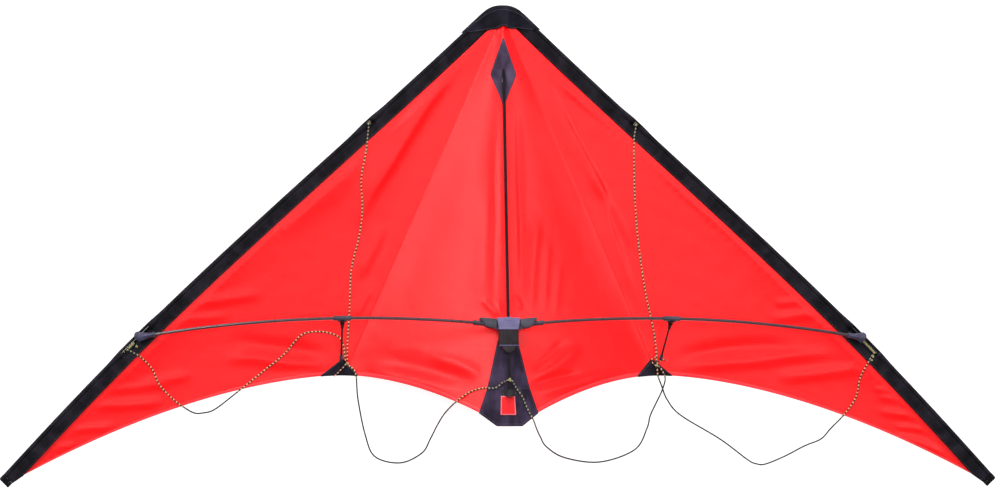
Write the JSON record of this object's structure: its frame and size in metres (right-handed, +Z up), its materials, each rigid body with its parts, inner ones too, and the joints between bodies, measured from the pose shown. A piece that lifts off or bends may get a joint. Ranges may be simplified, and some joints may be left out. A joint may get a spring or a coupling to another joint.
{
  "type": "pop-up stunt kite",
  "caption": "Delta stunt kite on its back, with a hub that slides along the spine to open or fold its spreaders, stand-offs on both wings and a three-leg bridle on each side.",
  "frame": {"origin": "centre of the outline at floor level, cords left out", "axes": "+X across the span to the right wing, +Y to the nose, +Z up from the floor; the bridle side faces up"},
  "size_m": [1.6198, 0.7782, 0.1502],
  "materials": {
    "bridle_inner_left": "matte woven",
    "bridle_inner_right": "matte woven",
    "bridle_outer_left": "matte woven",
    "bridle_outer_right": "matte woven",
    "bridle_upper_left": "matte woven",
    "bridle_upper_right": "matte woven",
    "diamond_patch": "matte woven",
    "edge_rod_left": "smooth fibreglass",
    "edge_rod_right": "smooth fibreglass",
    "edge_saddle_left": "satin moulded",
    "edge_saddle_right": "satin moulded",
    "edge_sleeve_left": "matte woven",
    "edge_sleeve_right": "matte woven",
    "hub_block": "satin moulded",
    "hub_grip": "satin moulded",
    "nose_patch": "matte woven",
    "sail_left": "matte woven",
    "sail_right": "matte woven",
    "spine_collar": "satin moulded",
    "spine_end_cap": "satin moulded",
    "spine_rod": "smooth fibreglass",
    "spreader_arm_left": "satin moulded",
    "spreader_arm_right": "satin moulded",
    "spreader_end_left": "satin moulded",
    "spreader_end_right": "satin moulded",
    "spreader_rod_left": "smooth fibreglass",
    "spreader_rod_right": "smooth fibreglass",
    "standoff_foot_left": "matte",
    "standoff_foot_right": "matte",
    "standoff_patch_left": "matte woven",
    "standoff_patch_right": "matte woven",
    "standoff_rod_left": "smooth fibreglass",
    "standoff_rod_right": "smooth fibreglass",
    "standoff_tee_left": "satin moulded",
    "standoff_tee_right": "satin moulded",
    "tail_knot": "matte woven",
    "tail_loop": "matte woven",
    "tail_patch": "matte woven",
    "tail_tag": "matte woven",
    "tip_cap_left": "matte woven",
    "tip_cap_right": "matte woven",
    "tow_knot_left": "matte woven",
    "tow_knot_right": "matte woven"
  },
  "bodies": {
    "frame": {"bridle_inner_left": "bridle_inner_left", "bridle_inner_right": "bridle_inner_right", "diamond_patch": "diamond_patch", "nose_patch": "nose_patch", "sail_left": "sail_left", "sail_right": "sail_right", "spine_collar": "spine_collar", "spine_end_cap": "spine_end_cap", "spine_rod": "spine_rod", "standoff_patch_left": "standoff_patch_left", "standoff_patch_right": "standoff_patch_right", "tail_knot": "tail_knot", "tail_loop": "tail_loop", "tail_patch": "tail_patch", "tail_tag": "tail_tag", "tow_knot_left": "tow_knot_left", "tow_knot_right": "tow_knot_right"},
    "hub": {"hub_block": "hub_block", "hub_grip": "hub_grip"},
    "edge_left": {"bridle_outer_left": "bridle_outer_left", "bridle_upper_left": "bridle_upper_left", "edge_rod_left": "edge_rod_left", "edge_saddle_left": "edge_saddle_left", "edge_sleeve_left": "edge_sleeve_left", "tip_cap_left": "tip_cap_left"},
    "spreader_left": {"spreader_arm_left": "spreader_arm_left", "spreader_end_left": "spreader_end_left", "spreader_rod_left": "spreader_rod_left", "standoff_tee_left": "standoff_tee_left"},
    "standoff_left": {"standoff_foot_left": "standoff_foot_left", "standoff_rod_left": "standoff_rod_left"},
    "edge_right": {"bridle_outer_right": "bridle_outer_right", "bridle_upper_right": "bridle_upper_right", "edge_rod_right": "edge_rod_right", "edge_saddle_right": "edge_saddle_right", "edge_sleeve_right": "edge_sleeve_right", "tip_cap_right": "tip_cap_right"},
    "spreader_right": {"spreader_arm_right": "spreader_arm_right", "spreader_end_right": "spreader_end_right", "spreader_rod_right": "spreader_rod_right", "standoff_tee_right": "standoff_tee_right"},
    "standoff_right": {"standoff_foot_right": "standoff_foot_right", "standoff_rod_right": "standoff_rod_right"}
  },
  "joints": [
    {"name": "hub_slide", "type": "slide", "parent": "frame", "child": "hub", "axis": [0, 0.9749, -0.2228], "range_m": [0, 0.30423], "deforming": ["sail_left", "sail_right", "standoff_patch_left", "standoff_patch_right", "diamond_patch", "tail_patch", "tail_tag", "nose_patch", "bridle_inner_left", "bridle_inner_right", "tow_knot_left", "tow_knot_right", "bridle_upper_left", "bridle_upper_right", "bridle_outer_left", "bridle_outer_right"]},
    {"name": "edge_left_fold", "type": "hinge", "parent": "frame", "child": "edge_left", "pos_m": [-0.02704, 0.37426, 0.00562], "axis": [0, 0, 1], "range_deg": [0, 38.9]},
    {"name": "spreader_left_fold", "type": "hinge", "parent": "hub", "child": "spreader_left", "pos_m": [-0.026, -0.124, 0.11845], "axis": [0.0481, 0.1667, 0.9848], "range_deg": [0, 78.5]},
    {"name": "standoff_left_fold", "type": "hinge", "parent": "spreader_left", "child": "standoff_left", "pos_m": [-0.26454, -0.12135, 0.09703], "axis": [-0.2148, 0.7917, -0.5719], "range_deg": [0, 48]},
    {"name": "edge_right_fold", "type": "hinge", "parent": "frame", "child": "edge_right", "pos_m": [0.02704, 0.37426, 0.00562], "axis": [0, 0, -1], "range_deg": [0, 38.9]},
    {"name": "spreader_right_fold", "type": "hinge", "parent": "hub", "child": "spreader_right", "pos_m": [0.026, -0.124, 0.11845], "axis": [0.0481, -0.1667, -0.9848], "range_deg": [0, 78.5]},
    {"name": "standoff_right_fold", "type": "hinge", "parent": "spreader_right", "child": "standoff_right", "pos_m": [0.26454, -0.12135, 0.09703], "axis": [-0.2148, -0.7917, 0.5719], "range_deg": [0, 48]}
  ],
  "couplings": [
    {"joint": "edge_left_fold", "follows": "hub_slide", "rad_per_m": 2.2284},
    {"joint": "spreader_left_fold", "follows": "hub_slide", "rad_per_m": 4.4999},
    {"joint": "standoff_left_fold", "follows": "hub_slide", "rad_per_m": 2.7484},
    {"joint": "edge_right_fold", "follows": "hub_slide", "rad_per_m": 2.2284},
    {"joint": "spreader_right_fold", "follows": "hub_slide", "rad_per_m": 4.4999},
    {"joint": "standoff_right_fold", "follows": "hub_slide", "rad_per_m": 2.7484}
  ]
}
